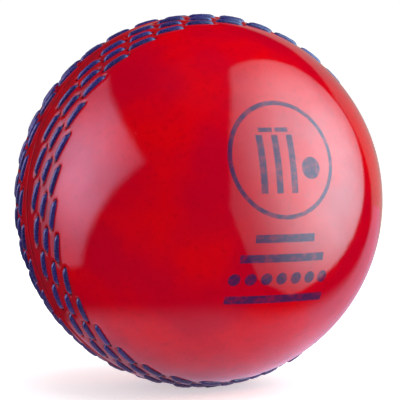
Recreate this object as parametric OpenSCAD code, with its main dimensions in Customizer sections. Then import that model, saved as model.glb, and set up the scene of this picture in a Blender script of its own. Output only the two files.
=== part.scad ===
// A six-seam leather ball: a cork nucleus built up with cork strips and wound
// yarn, closed in two leather cups that are stitched together around the middle.
// Millimetres. The origin is the ball's centre. The closing joint lies in the
// XZ plane, the front cup faces -Y and the back cup faces +Y.

/* [Ball] */
// Diameter over the leather, away from the seam
ball_d = 71.4; // [70:0.1:73]
// Thickness of the leather
leather_t = 3.4; // [3:0.1:4.2]

/* [Core] */
// Diameter of the cork and rubber nucleus
nucleus_d = 28; // [24:1:32]
// Thickness of one layer of cork strips
cork_t = 2; // [1.5:0.1:2.5]
// Gap between neighbouring strips of one layer
cork_gap = 0.8; // [0.4:0.1:1.5]

/* [Seam] */
// Height of the leather at the closing joint above the rest of the ball
seam_rise = 0.3; // [0.1:0.05:0.4]
// Radius of the gentle crown across the raised seam
crown_r = 25; // [20:1:28]
// Depth of the groove where the two cups meet
joint_depth = 0.25; // [0.1:0.05:0.4]
// Thickness of the cord that lifts the seam from inside
lift_cord_d = 1.4; // [1:0.1:1.8]

/* [Stitches] */
// Stitches in one row around the ball
stitches = 34; // [30:2:36]
// Thickness of the waxed thread
thread_d = 1; // [0.8:0.05:1.1]
// How far a stitch stands above the leather
thread_rise = 0.45; // [0.35:0.05:0.6]
// Diameter of the awl holes, which squeeze the legs of the stitches
leg_d = 0.8; // [0.6:0.05:0.9]
// Lean of each stitch across its row, in degrees
lean = 16; // [8:1:20]
// Visible length of a stitch in the inner row
inner_len = 5.7; // [4.6:0.1:5.9]
// Visible length of a stitch in the middle row
middle_len = 4.8; // [4:0.1:5.2]
// Visible length of a stitch in the outer row
outer_len = 5.7; // [4.6:0.1:5.9]
// Latitude of the inner row, in degrees from the joint
inner_lat = 5.7; // [5.3:0.1:6]
// Latitude of the middle row, in degrees from the joint
middle_lat = 10.2; // [10:0.1:10.6]
// Latitude of the outer row, in degrees from the joint
outer_lat = 14.7; // [14.5:0.1:16]

/* [Hidden] */
$fn = 96;

front = "front";
back = "back";
ball_r = ball_d / 2;
core_r = ball_r - leather_t;
nucleus_r = nucleus_d / 2;
cork_layers = 4;
yarn_t = (core_r - nucleus_r - cork_layers * cork_t) / (cork_layers + 1);
strip_turn = 45;
// The crown is a circle of crown_r swung around the joint's axis.
crown_centre = ball_r + seam_rise - crown_r;
// Half width of the joint's groove over its depth.
joint_slope = 1.6;
// How far the awl holes run past the leather on both sides.
hole_over = 1;
// Angle from one stitch to the next, and how far the whole seam is turned.
pitch = 360 / stitches;
seam_turn = -1.8;
// How far past its visible ends a stitch's arc carries on into the leather.
dive = 9;
inner = 0;
middle = 1;
outer = 2;
row_lats = [inner_lat, middle_lat, outer_lat];
row_lens = [inner_len, middle_len, outer_len];

// Inner radius of a yarn winding (layers count outwards from 1).
function yarn_in(layer) = nucleus_r + (layer - 1) * (yarn_t + cork_t);
// Inner radius of a layer of cork strips.
function cork_in(layer) = yarn_in(layer) + yarn_t;
// Radius of the leather at a latitude, on the crown or on the plain ball.
function leather_r(lat) =
    max(ball_r, crown_centre * cos(lat) + sqrt(crown_r ^ 2 - (crown_centre * sin(lat)) ^ 2));

module hollow_ball(inner, outer) {
    difference() {
        sphere(outer);
        sphere(inner);
    }
}

// Ring of a 2D profile around the ball's Y axis.
module around_joint() {
    rotate([90, 0, 0]) rotate_extrude() children();
}

// Both cups and their stitches are alike. Each is made on the +Y side, and the
// front one is then turned half a turn about X.
module on_side(side) {
    rotate([0, -seam_turn, 0]) rotate([side == front ? 180 : 0, 0, 0]) children();
}

module nucleus() {
    color("peru") sphere(nucleus_r);
}

module yarn_winding(layer) {
    color("wheat") hollow_ball(yarn_in(layer), yarn_in(layer) + yarn_t);
}

// Four strips of cork, cut apart by two crossed gaps; each layer is turned
// from the one below so that the gaps never line up.
module cork_strips(layer) {
    color("burlywood")
    rotate([0, 0, layer * strip_turn])
    difference() {
        hollow_ball(cork_in(layer), cork_in(layer) + cork_t);
        for (turn = [0, 90])
            rotate([0, 0, turn]) cube([ball_d, cork_gap, ball_d], center = true);
    }
}

// The cord that lifts the seam, and the channel for it in the mating edges.
module lift_cord_ring() {
    around_joint() translate([core_r + lift_cord_d, 0]) circle(d = lift_cord_d);
}

module seam_lift_cord() {
    color("ivory") lift_cord_ring();
}

// The raised band of the seam, as a crowned ring down to the core's radius.
module crown() {
    around_joint()
    intersection() {
        translate([crown_centre, 0]) circle(crown_r);
        translate([core_r, -ball_r / 2]) square([ball_r, ball_r]);
    }
}

// V groove where the two turned-in edges meet.
module joint_groove() {
    top = ball_r + seam_rise;
    around_joint()
    polygon([
        [top - joint_depth, 0],
        [top + joint_depth, 2 * joint_depth * joint_slope],
        [top + joint_depth, -2 * joint_depth * joint_slope]
    ]);
}

// Outer radius of the arc that one stitch follows: it stands thread_rise above
// the leather in the middle and meets it at both ends of its visible length.
function arc_r(row_r, length) =
    let (half = length / 2, sag = thread_rise + half ^ 2 / (2 * row_r))
    (half ^ 2 + sag ^ 2) / (2 * sag);

// One stitch standing on +X: an arc of thread whose ends dive into the leather,
// and two legs from there to the inside of the cup.
module stitch(row_r, length) {
    outer_r = arc_r(row_r, length);
    path_r = outer_r - thread_d / 2;
    half_angle = asin(length / 2 / outer_r);
    centre = row_r + thread_rise - outer_r;
    rotate([90, 0, 0]) {
        translate([centre, 0, 0])
        rotate([0, 0, -half_angle - dive])
        rotate_extrude(angle = 2 * (half_angle + dive)) translate([path_r, 0]) circle(d = thread_d);
        legs(core_r, centre + path_r * cos(half_angle), length);
    }
}

// The two legs of a stitch, or the awl holes for them, between two heights.
module legs(bottom, top, length) {
    for (side = [-1, 1])
        translate([bottom, side * (length - thread_d) / 2, 0])
        rotate([0, 90, 0]) cylinder(d = leg_d, h = top - bottom);
}

// Places one row's shapes around the back cup, each leaning across the row.
// Every row starts a quarter of a stitch from its neighbour, and so do the two
// inner rows, which lie an eighth of a stitch to either side of +X.
module around_row(row) {
    for (i = [0 : stitches - 1])
        rotate([0, -(i + 1 / 8 - row / 4) * pitch, 0])
        rotate([0, 0, row_lats[row]])
        rotate([-lean, 0, 0])
        children();
}

module stitch_row(row, side) {
    color("midnightblue")
    on_side(side)
    around_row(row) stitch(leather_r(row_lats[row]), row_lens[row]);
}

// Leather cup, from the inside of the leather to the crowned outside, with an
// awl hole for each leg of its three rows of stitches.
module leather_cup(side) {
    color("firebrick")
    on_side(side)
    difference() {
        intersection() {
            union() {
                sphere(ball_r);
                crown();
            }
            translate([-ball_d, 0, -ball_d]) cube(2 * ball_d);
        }
        sphere(core_r);
        joint_groove();
        lift_cord_ring();
        for (row = [inner, middle, outer])
            around_row(row)
            rotate([90, 0, 0]) legs(core_r - hole_over, ball_r + hole_over, row_lens[row]);
    }
}

nucleus();  // cork_nucleus
yarn_winding(1);  // yarn_winding_1
cork_strips(1);  // cork_strips_1
yarn_winding(2);  // yarn_winding_2
cork_strips(2);  // cork_strips_2
yarn_winding(3);  // yarn_winding_3
cork_strips(3);  // cork_strips_3
yarn_winding(4);  // yarn_winding_4
cork_strips(4);  // cork_strips_4
yarn_winding(5);  // yarn_winding_5
seam_lift_cord();
leather_cup(front);  // leather_cup_front
leather_cup(back);  // leather_cup_back
stitch_row(inner, front);  // stitches_inner_front
stitch_row(middle, front);  // stitches_middle_front
stitch_row(outer, front);  // stitches_outer_front
stitch_row(inner, back);  // stitches_inner_back
stitch_row(middle, back);  // stitches_middle_back
stitch_row(outer, back);  // stitches_outer_back
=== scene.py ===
import math
import random

import bmesh
import bpy
import numpy as np
from mathutils import Matrix, Vector


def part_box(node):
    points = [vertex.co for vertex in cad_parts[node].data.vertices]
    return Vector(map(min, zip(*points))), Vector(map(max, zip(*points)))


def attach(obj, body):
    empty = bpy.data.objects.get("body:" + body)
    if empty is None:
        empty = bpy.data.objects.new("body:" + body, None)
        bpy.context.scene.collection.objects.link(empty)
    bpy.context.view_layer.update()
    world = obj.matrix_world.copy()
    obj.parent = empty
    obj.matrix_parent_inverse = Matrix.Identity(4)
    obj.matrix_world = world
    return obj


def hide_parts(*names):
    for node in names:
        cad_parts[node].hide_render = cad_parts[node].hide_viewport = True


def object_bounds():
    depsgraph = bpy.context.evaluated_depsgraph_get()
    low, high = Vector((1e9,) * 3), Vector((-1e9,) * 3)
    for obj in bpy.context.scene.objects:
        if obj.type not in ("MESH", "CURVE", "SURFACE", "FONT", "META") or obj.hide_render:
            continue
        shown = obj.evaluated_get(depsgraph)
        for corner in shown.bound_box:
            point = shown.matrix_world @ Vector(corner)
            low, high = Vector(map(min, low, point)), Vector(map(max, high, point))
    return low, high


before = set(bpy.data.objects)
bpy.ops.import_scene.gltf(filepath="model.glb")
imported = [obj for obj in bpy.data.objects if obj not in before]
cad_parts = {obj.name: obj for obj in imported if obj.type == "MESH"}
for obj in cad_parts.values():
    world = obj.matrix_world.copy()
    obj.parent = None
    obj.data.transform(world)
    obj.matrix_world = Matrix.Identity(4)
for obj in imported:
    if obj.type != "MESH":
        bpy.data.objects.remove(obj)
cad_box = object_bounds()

# The ball's centre is the origin and the seam runs around the Y axis. The front cup
# faces -Y and the back cup faces +Y. Lengths are in metres and angles in degrees.
# A latitude is measured from the joint, and a longitude runs around it from +X.
MM = 0.001
random.seed(7)

# ---------------------------------------------------------------- sizes
BALL_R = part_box("leather_cup_back")[1].y
CORE_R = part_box("yarn_winding_5")[1].z
CORD_LOW, CORD_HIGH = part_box("seam_lift_cord")
CORD_R = (CORD_HIGH.y - CORD_LOW.y) / 2
CORD_RING = CORD_HIGH.z - CORD_R

# The seam: the leather swells towards the joint and turns in over a round lip, whose
# top is as high as the leather at LIP_LAT.
SEAM_RISE = 0.34 * MM
SWELL_LAT = 17.5
LIP_LAT = 1.3
LIP_W = 0.5 * MM
LIP_DEPTH = 0.35 * MM
LIP_GAP = 0.05 * MM

STITCHES = 34
PITCH = 360 / STITCHES
SEAM_TURN = -1.8
LEAN = 16
# Name, latitude and visible length of each row of stitches.
ROWS = (("inner", 5.7, 5.7 * MM), ("middle", 10.2, 4.8 * MM), ("outer", 14.7, 5.7 * MM))
# Where the inner row's first stitch lies, and how far each row starts behind the one
# before it, as parts of the pitch.
FIRST_STITCH = 1 / 8
ROW_STAGGER = 1 / 4

# The thread: how far it stands above the leather, how deep the ends of a stitch reach
# and how squarely it bends down to them (less is squarer).
THREAD_R = 0.56 * MM
THREAD_RISE = 0.50 * MM
THREAD_REACH = 1.2 * MM
THREAD_BEND = 0.42
# A stitch turns down this many thread radii inside its visible ends. It thins at both
# ends, and one half of it is a little fuller than the other.
THREAD_INSET = 0.85
END_THINNING = 0.10
HALF_FULLER = 0.03
THREAD_SIDES = 8
THREAD_STEPS = 8

# What varies in hand sewing: lean and place in degrees, width as a part of itself.
LEAN_SPREAD = 1.1
SLIP_SPREAD = 0.10
SWELL_SPREAD = 0.03

# How far the taut thread presses the leather down and how wide that dent is, and the
# same for the holes, which lie just inside a stitch's visible ends.
DENT_DEPTH = 0.20 * MM
DENT_W = 0.72 * MM
HOLE_DEPTH = 0.28 * MM
HOLE_W = 0.40 * MM
HOLE_INSET = 0.1 * MM
# Beyond this latitude the leather has no dents.
DENT_LAT = 22

# The cup's mesh: degrees between its rings on the dome, on the seam and inside, the
# latitudes between which the seam's rings lie, the points of a small arc and the steps
# around the ball.
DOME_STEP = 1.4
SEAM_STEP = 0.5
INSIDE_STEP = 3
SEAM_RINGS_LAT = 20
LAST_RING_LAT = 1.8
ARC_POINTS = 9
SPIN_STEPS = STITCHES * 16
# Points closer together than this are merged.
MERGE_DIST = 0.001 * MM

# The printed stamp, laid out as (x, z) from the middle of the front cup. Each rule is
# how far down it lies and how long it is.
PRINT_EDGE = 0.12 * MM
RING_Z = 9.0 * MM
RING_OUTSIDE = 10.6 * MM
RING_INSIDE = 9.8 * MM
WICKET_X = -1.4 * MM
STUMP_Z = RING_Z - 0.7 * MM
STUMP_PITCH = 3.0 * MM
STUMP_SIZE = (1.3 * MM, 10.4 * MM)
BAIL_Z = RING_Z + 5.4 * MM
BAIL_PITCH = 3.2 * MM
BAIL_SIZE = (2.7 * MM, 0.8 * MM)
PRINTED_BALL_AT = (5.4 * MM, RING_Z - 1.5 * MM)
PRINTED_BALL_R = 2.0 * MM
RULES = ((5.0 * MM, 12.0 * MM), (8.6 * MM, 17.0 * MM), (16.2 * MM, 20.0 * MM))
RULE_H = 1.5 * MM
DOTS_Z = -12.4 * MM
DOT_PITCH = 3.0 * MM
DOT_R = 1.1 * MM
# The stamp is printed only this far out on the front cup, and fades in over a short way.
STAMP_Y = -22 * MM
STAMP_FADE = 2 * MM

# ---------------------------------------------------------------- colours
DEEP_RED = (0.46, 0.0, 0.014, 1)
BRIGHT_RED = (0.61, 0.0, 0.004, 1)
FLECK_RED = (0.36, 0.0, 0.008, 1)
SEAM_GRIME = (0.15, 0.014, 0.022, 1)
# Painted shade down the stitch holes and the joint groove.
HOLE_SHADE = (0.03, 0.001, 0.006, 1)
STAMP_INK = (0.030, 0.012, 0.070, 1)
NAVY_DARK = (0.009, 0.006, 0.115, 1)
NAVY_LIGHT = (0.017, 0.012, 0.180, 1)
NAVY_FUZZ = (0.030, 0.026, 0.21, 1)
# Painted shade in the grooves between the thread's plies.
NAVY_PLY_GROOVE_SHADE = (0.006, 0.005, 0.06, 1)
# Yarn and cord: the light colour is their own, the darker one is painted shade between the turns.
YARN_LIGHT = (0.80, 0.73, 0.60, 1)
YARN_GROOVE_SHADE = (0.42, 0.35, 0.26, 1)
LINEN_LIGHT = (0.82, 0.76, 0.64, 1)
LINEN_GROOVE_SHADE = (0.45, 0.39, 0.30, 1)
CORK_LIGHT = (0.66, 0.46, 0.28, 1)
CORK_DARK = (0.40, 0.25, 0.14, 1)
CORK_PIT = (0.12, 0.07, 0.04, 1)
NUCLEUS_LIGHT = (0.42, 0.26, 0.16, 1)
NUCLEUS_DARK = (0.12, 0.07, 0.05, 1)


# ---------------------------------------------------------------- mesh helpers
def new_piece(name, bm, replaced, material):
    """Finishes a bmesh as a smooth piece that stands for CAD nodes."""
    mesh = bpy.data.meshes.new(name)
    bm.to_mesh(mesh)
    bm.free()
    mesh.shade_smooth()
    mesh.materials.append(material)
    piece = bpy.data.objects.new(name, mesh)
    bpy.context.scene.collection.objects.link(piece)
    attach(piece, "root")
    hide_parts(*replaced)


def side_turn(side):
    """Turns a shape made on the back cup to its place on either side."""
    turn = Matrix.Rotation(math.radians(-SEAM_TURN), 4, "Y")
    if side == "front":
        turn = turn @ Matrix.Rotation(math.pi, 4, "X")
    return turn


def smooth_step(x):
    x = np.clip(x, 0, 1)
    return x * x * (3 - 2 * x)


def polar(radius, angle):
    """The point at a radius and an angle in degrees."""
    return radius * math.cos(math.radians(angle)), radius * math.sin(math.radians(angle))


# ---------------------------------------------------------------- leather cups
def leather_radius(lat):
    """Radius of the leather at a latitude, without the dents of the stitches."""
    return BALL_R + SEAM_RISE * float(smooth_step(1 - lat / SWELL_LAT))


def cup_profile():
    """Half section of the back cup as (radius, height along Y), outer pole first."""
    dome = list(np.arange(90, SEAM_RINGS_LAT, -DOME_STEP))
    seam = list(np.arange(SEAM_RINGS_LAT, LAST_RING_LAT, -SEAM_STEP))
    outside = [polar(leather_radius(lat), lat) for lat in dome + seam]
    lip_top = leather_radius(LIP_LAT)
    lip = []
    for angle in np.linspace(0, 90, ARC_POINTS):
        c, s = polar(1, angle)
        lip.append((lip_top - LIP_DEPTH * (1 - c), LIP_GAP + LIP_W * (1 - s)))
    channel = []
    for angle in np.linspace(0, 180, ARC_POINTS):
        out, up = polar(CORD_R, angle)
        channel.append((CORD_RING + out, up))
    inside = [polar(CORE_R, angle) for angle in np.arange(0, 90 + INSIDE_STEP, INSIDE_STEP)]
    return outside + lip + [(lip_top - LIP_DEPTH, 0)] + channel + inside


def stitch_lon(i, row):
    """Longitude of the middle of a row's stitch number i."""
    return (i + FIRST_STITCH - row * ROW_STAGGER) * PITCH


def row_dents(lon, lat, row):
    """Depth pressed into the leather by one row, and how deep in a hole a point is."""
    _, row_lat, length = ROWS[row]
    from_stitch = (lon - stitch_lon(0, row) + PITCH / 2) % PITCH - PITCH / 2
    along_joint = np.radians(from_stitch) * BALL_R * math.cos(math.radians(row_lat))
    across_joint = np.radians(lat - row_lat) * BALL_R
    c, s = polar(1, LEAN)
    along = along_joint * c + across_joint * s
    across = across_joint * c - along_joint * s
    past_end = np.maximum(np.abs(along) - (length / 2 - THREAD_R), 0)
    dent = DENT_DEPTH * np.exp(-(past_end ** 2 + across ** 2) / DENT_W ** 2)
    to_hole = np.abs(along) - (length / 2 - HOLE_INSET)
    hole = np.exp(-(to_hole ** 2 + across ** 2) / HOLE_W ** 2)
    return dent + HOLE_DEPTH * hole, hole


def press_stitches(bm):
    """Presses three rows of stitches into the outside of the cup. The layer "sink" says how
    far each point is down a hole or down the joint, for painted shade and a duller polish there."""
    bm.verts.ensure_lookup_table()
    layer = bm.verts.layers.float.new("sink")
    co = np.array([v.co for v in bm.verts])
    radius = np.linalg.norm(co, axis=1)
    lat = np.degrees(np.arcsin(np.clip(co[:, 1] / radius, -1, 1)))
    lon = np.degrees(np.arctan2(co[:, 2], co[:, 0]))
    lip_lat = math.degrees(LIP_W / BALL_R)
    near = (radius > BALL_R - 2 * LIP_DEPTH) & (lat < DENT_LAT)
    fade = smooth_step(lat / lip_lat)
    depth = np.zeros(len(co))
    sink = np.zeros(len(co))
    for row in range(len(ROWS)):
        dent, hole = row_dents(lon, lat, row)
        depth = np.maximum(depth, dent)
        sink = np.maximum(sink, hole)
    depth = depth * fade * near
    lip_sink = np.clip((leather_radius(0) - radius) / LIP_DEPTH, 0, 1) * (lat < lip_lat)
    sink = np.maximum(sink, lip_sink) * near
    for v, d, s, r in zip(bm.verts, depth, sink, radius):
        v.co *= 1 - d / r
        v[layer] = s


def stitched_cup():
    """The back cup, with its lip, its cord channel and its dents, as a bmesh."""
    bm = bmesh.new()
    verts = [bm.verts.new((x, y, 0)) for x, y in cup_profile()]
    edges = [bm.edges.new(pair) for pair in zip(verts, verts[1:])]
    bmesh.ops.spin(bm, geom=verts + edges, cent=(0, 0, 0), axis=(0, 1, 0), dvec=(0, 0, 0),
                   angle=2 * math.pi, steps=SPIN_STEPS, use_merge=True, use_duplicate=False)
    bmesh.ops.remove_doubles(bm, verts=bm.verts, dist=MERGE_DIST)
    bmesh.ops.recalc_face_normals(bm, faces=bm.faces)
    press_stitches(bm)
    return bm


def leather_cup(side, cup, material):
    bm = cup.copy()
    bm.transform(side_turn(side))
    node = "leather_cup_" + side
    new_piece(node + "_stitched", bm, [node], material)


# ---------------------------------------------------------------- stitches
def one_stitch(bm, row_r, length):
    """One stitch standing on +X with its length along Z: a bridge of thread between two
    holes. The layer "lay" is the way along it in millimetres and the place in its round
    section, for the thread's plies."""
    bmesh.ops.create_circle(bm, cap_ends=True, segments=THREAD_SIDES, radius=THREAD_R)
    start = Matrix.Translation((0, 0, -length / 2)) @ Matrix.Rotation(math.pi / 2, 4, "Y")
    bmesh.ops.transform(bm, verts=bm.verts, matrix=start)
    bmesh.ops.spin(bm, geom=bm.verts[:] + bm.edges[:] + bm.faces[:], cent=(0, 0, 0),
                   axis=(0, -1, 0), dvec=(0, 0, 0), angle=math.pi, steps=THREAD_STEPS,
                   use_merge=False, use_duplicate=False)
    bmesh.ops.recalc_face_normals(bm, faces=bm.faces)
    lay = bm.verts.layers.float_vector.new("lay")
    half = length / 2 - THREAD_INSET * THREAD_R
    tall = THREAD_REACH + THREAD_RISE - THREAD_R
    for v in bm.verts:
        across = v.co.y
        out = math.hypot(v.co.z, v.co.x) - length / 2
        turn = math.atan2(v.co.z, v.co.x)
        s, c = abs(math.sin(turn)), max(math.cos(turn), 0)
        sign = math.copysign(1, turn)
        # The half round of the spin becomes a flat-topped bridge, the same thread all along.
        along = half * s ** THREAD_BEND
        up = tall * c ** THREAD_BEND - THREAD_REACH - along ** 2 / (2 * row_r)
        tilt = math.atan2(s ** (2 - THREAD_BEND) / half, c ** (2 - THREAD_BEND) / tall)
        width = 1 - END_THINNING * s ** 4 + HALF_FULLER * sign * s
        v[lay] = (sign * along / MM, across / THREAD_R, out / THREAD_R)
        v.co = (row_r + up + out * width * math.cos(tilt), across * width,
                sign * (along + out * width * math.sin(tilt)))


def stitch_row(row, side, material):
    """One row of stitches around a cup, as one piece of separate closed stitches."""
    name, row_lat, length = ROWS[row]
    bm = bmesh.new()
    one_stitch(bm, leather_radius(row_lat), length)
    tint = bm.verts.layers.float.new("tint")
    first = list(bm.verts) + list(bm.edges) + list(bm.faces)
    lift = Matrix.Rotation(math.radians(row_lat), 4, "Z")
    stand = lift @ Matrix.Rotation(math.radians(-LEAN), 4, "X")
    copies = [first]
    for _ in range(1, STITCHES):
        copies.append(bmesh.ops.duplicate(bm, geom=first)["geom"])
    for i, geom in enumerate(copies):
        verts = [g for g in geom if isinstance(g, bmesh.types.BMVert)]
        # Hand sewing: every stitch lies a little differently.
        wobble = Matrix.Rotation(math.radians(random.gauss(0, LEAN_SPREAD)), 4, "X")
        swell = 1 + random.gauss(0, SWELL_SPREAD)
        slip = random.gauss(0, SLIP_SPREAD)
        shade = random.random()
        for v in verts:
            v.co.y *= swell
            v[tint] = shade
        turn = Matrix.Rotation(math.radians(-stitch_lon(i, row) - slip), 4, "Y")
        bmesh.ops.transform(bm, verts=verts, matrix=side_turn(side) @ turn @ stand @ wobble)
    node = "stitches_" + name + "_" + side
    new_piece(node + "_thread", bm, [node], material)


# ---------------------------------------------------------------- shader helpers
class Nodes:
    """Short ways to add nodes to one tree."""

    def __init__(self, tree):
        self.tree = tree

    def feed(self, node, inputs):
        """Links or sets inputs of a node, each given by its socket's name or number."""
        for socket, value in inputs.items():
            if isinstance(value, bpy.types.NodeSocket):
                self.tree.links.new(value, node.inputs[socket])
            else:
                node.inputs[socket].default_value = value

    def add(self, kind, inputs=(), **settings):
        node = self.tree.nodes.new(kind)
        for key, value in settings.items():
            setattr(node, key, value)
        self.feed(node, dict(inputs))
        return node

    def math(self, operation, *values, clamp=False):
        node = self.add("ShaderNodeMath", enumerate(values), operation=operation, use_clamp=clamp)
        return node.outputs[0]

    def times(self, a, b):
        return self.math("MULTIPLY", a, b)

    def mix(self, factor, a, b):
        """Colour a where the factor is 0, and b where it is 1."""
        return self.add("ShaderNodeMix", {0: factor, 6: a, 7: b}, data_type="RGBA").outputs[2]

    def mix_values(self, factor, a, b):
        return self.add("ShaderNodeMix", {0: factor, 2: a, 3: b}).outputs[0]

    def ramp(self, value, low, high, out_low=0.0, out_high=1.0):
        """Smooth rise from out_low to out_high as the value goes from low to high."""
        inputs = {0: value, 1: low, 2: high, 3: out_low, 4: out_high}
        return self.add("ShaderNodeMapRange", inputs, interpolation_type="SMOOTHSTEP").outputs[0]

    def noise(self, vector, scale, detail, rough=0.55, distortion=0.0):
        return self.add("ShaderNodeTexNoise", {"Vector": vector, "Scale": scale, "Detail": detail,
                                               "Roughness": rough, "Distortion": distortion}).outputs[0]

    def split(self, vector):
        """The X, Y and Z outputs of a vector."""
        return self.add("ShaderNodeSeparateXYZ", {0: vector}).outputs

    def turned(self, vector, rotation, scale=(1.0, 1.0, 1.0)):
        inputs = {"Vector": vector, "Rotation": rotation, "Scale": scale}
        return self.add("ShaderNodeMapping", inputs).outputs[0]

    def place(self):
        return self.add("ShaderNodeTexCoord").outputs["Object"]

    def attribute(self, name, output):
        return self.add("ShaderNodeAttribute", attribute_name=name).outputs[output]

    def group(self, group, inputs):
        return self.add("ShaderNodeGroup", inputs, node_tree=group).outputs

    def bump(self, height, strength, distance):
        inputs = {"Height": height, "Strength": strength, "Distance": distance}
        return self.add("ShaderNodeBump", inputs).outputs[0]


def new_group(name, inputs, outputs):
    """Node group with named sockets, as (helper, inputs, output node)."""
    tree = bpy.data.node_groups.new(name, "ShaderNodeTree")
    for socket, kind in inputs.items():
        tree.interface.new_socket(name=socket, in_out="INPUT", socket_type="NodeSocket" + kind)
    for socket, kind in outputs.items():
        tree.interface.new_socket(name=socket, in_out="OUTPUT", socket_type="NodeSocket" + kind)
    n = Nodes(tree)
    return n, n.add("NodeGroupInput").outputs, n.add("NodeGroupOutput")


def new_material(name, kind="ShaderNodeBsdfPrincipled"):
    """Material of one shader, as (material, helper, shader)."""
    material = bpy.data.materials.new(name)
    material.use_nodes = True
    tree = material.node_tree
    tree.nodes.clear()
    n = Nodes(tree)
    shader = n.add(kind)
    n.add("ShaderNodeOutputMaterial", {"Surface": shader.outputs[0]})
    return material, n, shader


# ---------------------------------------------------------------- shared effects
def polished_leather_group():
    """Lacquered leather: colour with painted shade down the holes and the joint, roughness, the fine
    relief and how well it is polished.
    """
    n, put, out = new_group("polished_leather", {"Vector": "Vector", "Sink": "Float"},
                            {"Color": "Color", "Roughness": "Float", "Height": "Float",
                             "Polish": "Float"})
    place, sink = put["Vector"], put["Sink"]
    from_joint = n.math("ABSOLUTE", n.split(place)["Y"])
    seam = n.ramp(from_joint, 11.0 * MM, 8.5 * MM)
    joint = n.ramp(from_joint, 1.2 * MM, 0.5 * MM)

    # Colour: dye in wide clouds and small flecks, grime between the rows, and painted shade down the
    # holes and the joint.
    cloud = n.noise(place, scale=55.0, detail=4.0)
    colour = n.mix(n.ramp(cloud, 0.35, 0.65), DEEP_RED, BRIGHT_RED)
    fleck = n.ramp(n.noise(place, scale=900.0, detail=2.0), 0.52, 0.72)
    colour = n.mix(n.times(fleck, 0.35), colour, FLECK_RED)
    smudge = n.ramp(n.noise(place, scale=320.0, detail=4.0, rough=0.65), 0.25, 0.75, 0.20, 0.65)
    colour = n.mix(n.times(seam, smudge), colour, SEAM_GRIME)
    # Painted shade: near black down the stitch holes and the joint groove, as deep as the sink layer
    # says.
    colour = n.mix(n.times(n.ramp(sink, 0.12, 0.7), 0.92), colour, HOLE_SHADE)

    # Relief: fine grain on slow waves, cut by a few long scratches.
    streaks = n.turned(place, rotation=(0.4, 0.3, 0.9), scale=(1.0, 1.0, 6.0))
    scratch = n.ramp(n.noise(streaks, scale=420.0, detail=1.0, distortion=0.4), 0.70, 0.76)
    grain = n.add("ShaderNodeTexVoronoi", {"Vector": place, "Scale": 1300.0, "Randomness": 1.0},
                  feature="DISTANCE_TO_EDGE").outputs[0]
    wave = n.noise(place, scale=150.0, detail=2.0)
    height = n.math("ADD", n.times(n.ramp(grain, 0.0, 0.25), 0.25), n.times(wave, 6.0))
    height = n.math("SUBTRACT", height, n.times(scratch, 0.9))

    # Sheen: smeared lacquer, worn on the seam and nearly gone in the holes and the joint.
    rough = n.math("ADD", n.ramp(cloud, 0.35, 0.65, 0.30, 0.42), n.times(scratch, 0.15))
    smear = n.noise(place, scale=130.0, detail=5.0, rough=0.6, distortion=0.8)
    dull = n.math("ADD", n.times(seam, 0.22), n.times(n.math("MAXIMUM", sink, joint), 0.65))
    polish = n.math("SUBTRACT", n.ramp(smear, 0.35, 0.65, 0.88, 1.0), dull, clamp=True)
    n.feed(out, {"Color": colour, "Roughness": rough, "Height": height, "Polish": polish})
    return n.tree


def twist_group():
    """Plies of a twisted thread, from how far along and which way round a point is: their height, and a
    mask that drops between them, for painted shade.
    """
    n, put, out = new_group("twisted_plies",
                            {"Along": "Float", "Around": "Float", "Plies": "Float", "Turns": "Float"},
                            {"Height": "Float", "Shade": "Float"})
    phase = n.math("ADD", n.times(put["Around"], put["Plies"]), n.times(put["Along"], put["Turns"]))
    wave = n.math("ABSOLUTE", n.math("SINE", n.times(phase, 0.5)))
    n.feed(out, {"Height": wave, "Shade": n.ramp(wave, 0.0, 0.6)})
    return n.tree


def cork_group():
    """Cork: pale and dark grains pressed together, with small pits."""
    n, put, out = new_group("cork_grains",
                            {"Vector": "Vector", "Light": "Color", "Dark": "Color", "Scale": "Float"},
                            {"Color": "Color", "Roughness": "Float", "Height": "Float"})
    cells = n.add("ShaderNodeTexVoronoi",
                  {"Vector": put["Vector"], "Scale": put["Scale"], "Randomness": 1.0}).outputs
    tone = n.add("ShaderNodeSeparateColor", {0: cells["Color"]}).outputs[0]
    colour = n.mix(n.ramp(tone, 0.1, 0.9), put["Light"], put["Dark"])
    spots = n.noise(put["Vector"], scale=1500.0, detail=4.0, rough=0.7)
    pits = n.ramp(spots, 0.56, 0.66)
    colour = n.mix(pits, colour, CORK_PIT)
    height = n.math("SUBTRACT", cells["Distance"], n.times(pits, 0.6))
    n.feed(out, {"Color": colour, "Roughness": n.ramp(spots, 0.3, 0.7, 0.75, 0.95), "Height": height})
    return n.tree


# ---------------------------------------------------------------- printed stamp
def soft_bar(n, x, z, at, size):
    """Mask of an upright bar at (x, z) = at, with crisp printed edges."""
    masks = []
    for value, middle, width in ((x, at[0], size[0]), (z, at[1], size[1])):
        away = n.math("ABSOLUTE", n.math("SUBTRACT", value, middle))
        masks.append(n.ramp(away, width / 2 + PRINT_EDGE, width / 2 - PRINT_EDGE))
    return n.times(*masks)


def soft_disc(n, x, z, at, radius, hole=0.0):
    """Mask of a disc, or of a ring when it has a hole."""
    dx = n.math("SUBTRACT", x, at[0])
    dz = n.math("SUBTRACT", z, at[1])
    away = n.math("SQRT", n.math("ADD", n.times(dx, dx), n.times(dz, dz)))
    mask = n.ramp(away, radius + PRINT_EDGE, radius - PRINT_EDGE)
    if hole:
        mask = n.times(mask, n.ramp(away, hole - PRINT_EDGE, hole + PRINT_EDGE))
    return mask


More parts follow.
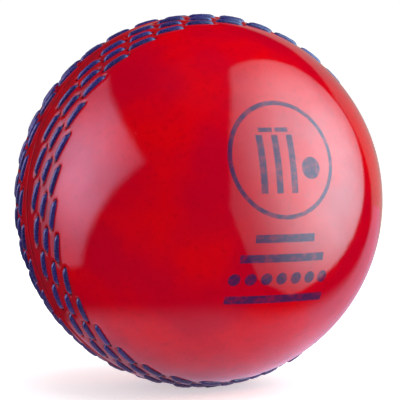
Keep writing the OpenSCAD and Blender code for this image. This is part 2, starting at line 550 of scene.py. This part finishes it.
def stamp_mask(n, place):
    """Plain printed stamp: a wicket and a ball in a ring, over three rules and a row of dots."""
    parts = n.split(place)
    x, z = parts["X"], parts["Z"]
    marks = [soft_disc(n, x, z, (0, RING_Z), RING_OUTSIDE, hole=RING_INSIDE),
             soft_disc(n, x, z, PRINTED_BALL_AT, PRINTED_BALL_R)]
    for i in (-1, 0, 1):
        marks.append(soft_bar(n, x, z, (WICKET_X + i * STUMP_PITCH, STUMP_Z), STUMP_SIZE))
    for i in (-0.5, 0.5):
        marks.append(soft_bar(n, x, z, (WICKET_X + i * BAIL_PITCH, BAIL_Z), BAIL_SIZE))
    for drop, length in RULES:
        marks.append(soft_bar(n, x, z, (0, -drop), (length, RULE_H)))
    for i in range(-3, 4):
        marks.append(soft_disc(n, x, z, (i * DOT_PITCH, DOTS_Z), DOT_R))
    mask = marks[0]
    for mark in marks[1:]:
        mask = n.math("MAXIMUM", mask, mark)
    return n.times(mask, n.ramp(parts["Y"], STAMP_Y + STAMP_FADE, STAMP_Y))


# ---------------------------------------------------------------- materials
LEATHER = polished_leather_group()
TWIST = twist_group()
CORK = cork_group()


def leather_material(name, stamped):
    """Red leather under a clear polish, with the stamp in worn ink where it is stamped."""
    material, n, shader = new_material(name)
    place = n.place()
    leather = n.group(LEATHER, {"Vector": place, "Sink": n.attribute("sink", "Fac")})
    colour, polish = leather["Color"], leather["Polish"]
    if stamped:
        worn = n.ramp(n.noise(place, scale=700.0, detail=4.0, rough=0.7), 0.34, 0.56, 0.62, 0.92)
        ink = n.times(stamp_mask(n, place), worn)
        colour = n.mix(ink, colour, STAMP_INK)
        polish = n.math("SUBTRACT", polish, n.times(ink, 0.25), clamp=True)
    relief = n.bump(leather["Height"], strength=0.25, distance=0.02 * MM)
    n.feed(shader, {"Base Color": colour, "Roughness": leather["Roughness"], "Normal": relief,
                    "Specular IOR Level": 0.0, "Coat Weight": polish, "Coat Roughness": 0.06,
                    "Coat Normal": relief})
    return material


def thread_material():
    """Waxed navy thread of twisted plies with painted shade between them, a little lighter or darker from
    stitch to stitch.
    """
    material, n, shader = new_material("waxed_navy_thread")
    lay = n.split(n.attribute("lay", "Vector"))
    around = n.math("ARCTAN2", lay["Z"], lay["Y"])
    plies = n.group(TWIST, {"Along": lay["X"], "Around": around, "Plies": 6.0, "Turns": 5.0})
    fuzz = n.noise(n.place(), scale=3200.0, detail=2.0)
    colour = n.mix(n.attribute("tint", "Fac"), NAVY_DARK, NAVY_LIGHT)
    colour = n.mix(n.times(n.ramp(fuzz, 0.4, 0.7), 0.2), colour, NAVY_FUZZ)
    # Painted shade: darker in the grooves between the plies.
    between = n.math("SUBTRACT", 1.0, plies["Shade"])
    colour = n.mix(n.times(between, 0.55), colour, NAVY_PLY_GROOVE_SHADE)
    height = n.math("ADD", plies["Height"], n.times(fuzz, 0.3))
    n.feed(shader, {"Base Color": colour, "Roughness": n.ramp(fuzz, 0.3, 0.7, 0.20, 0.34),
                    "Normal": n.bump(height, strength=0.20, distance=0.05 * MM),
                    "Specular IOR Level": 0.6, "Sheen Weight": 0.15})
    return material


def wound_material(name, light, dark, fineness):
    """Tightly wound yarn or twisted cord: three crossing sets of fine turns, in patches, with painted
    shade down between the turns.
    """
    material, n, shader = new_material(name)
    place = n.place()
    turns = []
    for rotation in ((0.3, 0.2, 0.1), (1.2, 0.9, 0.4), (2.1, 0.3, 1.7)):
        wave = n.add("ShaderNodeTexWave",
                     {"Vector": n.turned(place, rotation), "Scale": fineness, "Distortion": 1.5,
                      "Detail": 2.0}, wave_type="BANDS")
        turns.append(wave.outputs["Fac"])
    height = n.mix_values(n.ramp(n.noise(place, scale=70.0, detail=1.0), 0.45, 0.52), turns[0], turns[1])
    height = n.mix_values(n.ramp(n.noise(place, scale=95.0, detail=1.0), 0.55, 0.6), height, turns[2])
    fuzz = n.noise(place, scale=2500.0, detail=3.0)
    # Painted shade: the colour goes dark where the turns' relief is low, between them.
    colour = n.mix(n.ramp(height, 0.0, 0.7), dark, light)
    colour = n.mix(n.times(fuzz, 0.3), colour, light)
    relief = n.bump(n.math("ADD", height, n.times(fuzz, 0.3)), strength=0.8, distance=0.25 * MM)
    n.feed(shader, {"Base Color": colour, "Roughness": n.ramp(fuzz, 0.3, 0.7, 0.8, 0.95),
                    "Normal": relief})
    return material


def cork_material(name, light, dark, scale):
    material, n, shader = new_material(name)
    cork = n.group(CORK, {"Vector": n.place(), "Light": light, "Dark": dark, "Scale": scale})
    n.feed(shader, {"Base Color": cork["Color"], "Roughness": cork["Roughness"],
                    "Normal": n.bump(cork["Height"], strength=0.6, distance=0.2 * MM)})
    return material


# ---------------------------------------------------------------- build
front_leather = leather_material("polished_red_leather_stamped", stamped=True)
back_leather = leather_material("polished_red_leather", stamped=False)
navy_thread = thread_material()

cup = stitched_cup()
leather_cup("front", cup, front_leather)
leather_cup("back", cup, back_leather)
cup.free()
for side in ("front", "back"):
    for row in range(len(ROWS)):
        stitch_row(row, side, navy_thread)

# The pieces inside keep their own shape. Each kind, by how its name starts, gets a finish.
inner_finishes = {
    "yarn_winding": wound_material("wound_yarn", YARN_LIGHT, YARN_GROOVE_SHADE, fineness=900.0),
    "seam_lift": wound_material("twisted_cord", LINEN_LIGHT, LINEN_GROOVE_SHADE, fineness=1600.0),
    "cork_strips": cork_material("cut_cork", CORK_LIGHT, CORK_DARK, scale=700.0),
    "cork_nucleus": cork_material("cork_and_rubber", NUCLEUS_LIGHT, NUCLEUS_DARK, scale=420.0),
}
for node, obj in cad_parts.items():
    for start, material in inner_finishes.items():
        if node.startswith(start):
            obj.data.materials.clear()
            obj.data.materials.append(material)


# ---------------------------------------------------------------- studio
FLOOR_Z = cad_box[0].z
FLOOR_HALF = 6.0
FLOOR_GLOW = 0.48
CARD_LIFT = 0.2 * MM
# How bright the white room is as light on the ball, and as what is seen behind it.
ROOM_LIGHT = 0.66
ROOM_WHITE = 1.05


def facing(azimuth, elevation):
    """Unit vector from the ball; azimuth 0 is the front, -Y, and 90 is +X."""
    a, e = math.radians(azimuth), math.radians(elevation)
    return Vector((math.sin(a) * math.cos(e), -math.cos(a) * math.cos(e), math.sin(e)))


def stage_piece(name, bm, material):
    mesh = bpy.data.meshes.new(name)
    bm.to_mesh(mesh)
    bm.free()
    mesh.materials.append(material)
    piece = bpy.data.objects.new(name, mesh)
    bpy.context.scene.collection.objects.link(piece)
    return piece


def soft_card(name, outline, azimuth, elevation, distance, colour, peak, hot, spread, rest, edge):
    """Reflector that only shows in the polish. It stands square to the ball, x towards
    growing azimuth and y up, and its outline is convex and counter-clockwise. It shines
    with peak at its hot point, dies off over spread to rest times peak, and fades out
    over the width of its edge."""
    out = facing(azimuth, elevation)
    right = Vector((0, 0, 1)).cross(out).normalized()
    up = out.cross(right)
    bm = bmesh.new()
    bm.faces.new([bm.verts.new((x, y, 0)) for x, y in outline])
    material, n, shader = new_material(name + "_glow", "ShaderNodeEmission")
    where = n.place()
    from_hot = n.add("ShaderNodeVectorMath", {0: where, 1: (*hot, 0)}, operation="SUBTRACT").outputs[0]
    ratio = n.add("ShaderNodeVectorMath", {0: from_hot, 1: (*spread, 1)}, operation="DIVIDE").outputs[0]
    off = n.add("ShaderNodeVectorMath", {0: ratio}, operation="LENGTH").outputs["Value"]
    glow = n.math("EXPONENT", n.times(n.times(off, off), -1.0))
    glow = n.math("ADD", n.times(glow, 1 - rest), rest)
    x, y, _ = n.split(where)
    for (x0, y0), (x1, y1) in zip(outline, outline[1:] + outline[:1]):
        size = math.hypot(x1 - x0, y1 - y0)
        nx, ny = -(y1 - y0) / size, (x1 - x0) / size
        inward = n.math("ADD", n.times(x, nx), n.times(y, ny))
        inside = n.math("SUBTRACT", inward, x0 * nx + y0 * ny)
        glow = n.times(glow, n.ramp(inside, 0.0, edge))
    n.feed(shader, {"Color": colour, "Strength": n.times(glow, peak)})
    card = stage_piece(name, bm, material)
    axes = Matrix((right, up, out)).transposed().to_4x4()
    card.matrix_world = Matrix.Translation(out * distance) @ axes
    card.visible_camera = card.visible_diffuse = card.visible_shadow = False
    card.visible_transmission = card.visible_volume_scatter = False


def soft_light(name, azimuth, elevation, distance, size, power, colour):
    """Round lamp that lights the ball but doesn't show in its polish."""
    data = bpy.data.lights.new(name, "AREA")
    data.shape = "DISK"
    data.size = size
    data.energy = power
    data.color = colour
    light = bpy.data.objects.new(name, data)
    out = facing(azimuth, elevation)
    light.location = out * distance
    light.rotation_euler = out.to_track_quat("Z", "Y").to_euler()
    light.visible_glossy = False
    light.visible_camera = False
    bpy.context.scene.collection.objects.link(light)


def pale_floor():
    """Pale ground under the ball, brightened only where it is seen directly."""
    bm = bmesh.new()
    bmesh.ops.create_grid(bm, x_segments=1, y_segments=1, size=FLOOR_HALF)
    bmesh.ops.translate(bm, verts=bm.verts, vec=(0, 0, FLOOR_Z))
    material, n, shader = new_material("pale_floor")
    seen = n.add("ShaderNodeLightPath").outputs["Is Camera Ray"]
    n.feed(shader, {"Base Color": (0.90, 0.90, 0.90, 1), "Roughness": 0.9,
                    "Emission Color": (1.0, 1.0, 1.0, 1), "Emission Strength": n.times(seen, FLOOR_GLOW)})
    floor = stage_piece("floor", bm, material)
    floor.visible_glossy = False


def white_room():
    world = bpy.data.worlds.new("studio")
    bpy.context.scene.world = world
    world.use_nodes = True
    world.node_tree.nodes.clear()
    n = Nodes(world.node_tree)
    seen = n.add("ShaderNodeLightPath").outputs["Is Camera Ray"]
    strength = n.ramp(seen, 0.0, 1.0, ROOM_LIGHT, ROOM_WHITE)
    background = n.add("ShaderNodeBackground", {"Color": (1, 1, 1, 1), "Strength": strength})
    n.add("ShaderNodeOutputWorld", {"Surface": background.outputs[0]})
    world.cycles_visibility.glossy = False


pale_floor()
soft_card("left_softbox",
          outline=[(0.356, 0.139), (-0.171, 0.432), (-0.50, 0.60), (-0.50, -0.55), (-0.187, -0.538)],
          azimuth=-95, elevation=15, distance=0.5, colour=(0.74, 0.66, 1.0, 1), peak=6.0,
          hot=(-0.07, 0.006), spread=(0.23, 0.28), rest=0.17, edge=0.07)
soft_card("right_softbox",
          outline=[(0.37, -0.24), (0.50, 0.03), (0.50, 0.16), (0.46, 0.34), (0.32, 0.47), (0.07, 0.61),
                   (-0.34, 0.25), (-0.58, -0.12), (-0.52, -0.42), (-0.34, -0.80), (0.10, -0.80)],
          azimuth=47, elevation=20, distance=0.35, colour=(0.55, 0.88, 1.0, 1), peak=9.2,
          hot=(0.05, -0.07), spread=(0.26, 0.36), rest=0.08, edge=0.06)
# Painted reflection of the floor: a glowing card, no lamp, seen only in the polish, with a painted pool
# of light beside the ball.
# Lies on the floor under the ball: its x runs to +X and its y to -Y.
soft_card("painted_floor_reflection",
          outline=[(0.70, -0.45), (0.70, -0.22), (0.022, 0.041), (-0.015, 0.044), (-0.040, 0.022),
                   (-0.046, -0.008), (-0.032, -0.034), (0.0, -0.060)],
          azimuth=0, elevation=-89.9, distance=-FLOOR_Z - CARD_LIFT, colour=(0.78, 0.54, 0.80, 1),
          peak=1.5, hot=(0.024, 0.012), spread=(0.022, 0.022), rest=0.65, edge=0.013)
soft_card("backdrop",
          outline=[(0.22, -0.42), (0.22, 0.32), (-0.42, 0.32), (-0.42, -0.42)],
          azimuth=144, elevation=0, distance=0.5, colour=(0.95, 1.0, 0.95, 1), peak=1.1,
          hot=(-0.10, -0.38), spread=(0.50, 0.28), rest=0.32, edge=0.05)
soft_light("key", azimuth=60, elevation=35, distance=0.7, size=0.5, power=2.6,
           colour=(1.0, 0.98, 0.96))
soft_light("top", azimuth=0, elevation=80, distance=0.7, size=0.6, power=2.2,
           colour=(1.0, 1.0, 1.0))
white_room()

# ---------------------------------------------------------------- camera
CAMERA_AZIMUTH = -26.4
CAMERA_ELEVATION = 3.1
CAMERA_DISTANCE = 10.5 * BALL_R
# Millimetres, as a camera maker gives them.
LENS = 172.7
SENSOR_W = 36
# How far the ball sits from the middle of the frame, as a part of the frame's width.
CAMERA_SHIFT = 0.00225


def aim_camera():
    data = bpy.data.cameras.new("camera")
    data.lens = LENS
    data.sensor_width = SENSOR_W
    data.shift_x = data.shift_y = CAMERA_SHIFT
    camera = bpy.data.objects.new("camera", data)
    back = facing(CAMERA_AZIMUTH, CAMERA_ELEVATION)
    camera.location = back * CAMERA_DISTANCE
    camera.rotation_euler = back.to_track_quat("Z", "Y").to_euler()
    bpy.context.scene.collection.objects.link(camera)
    bpy.context.scene.camera = camera
    bpy.context.scene.view_settings.view_transform = "Standard"


aim_camera()
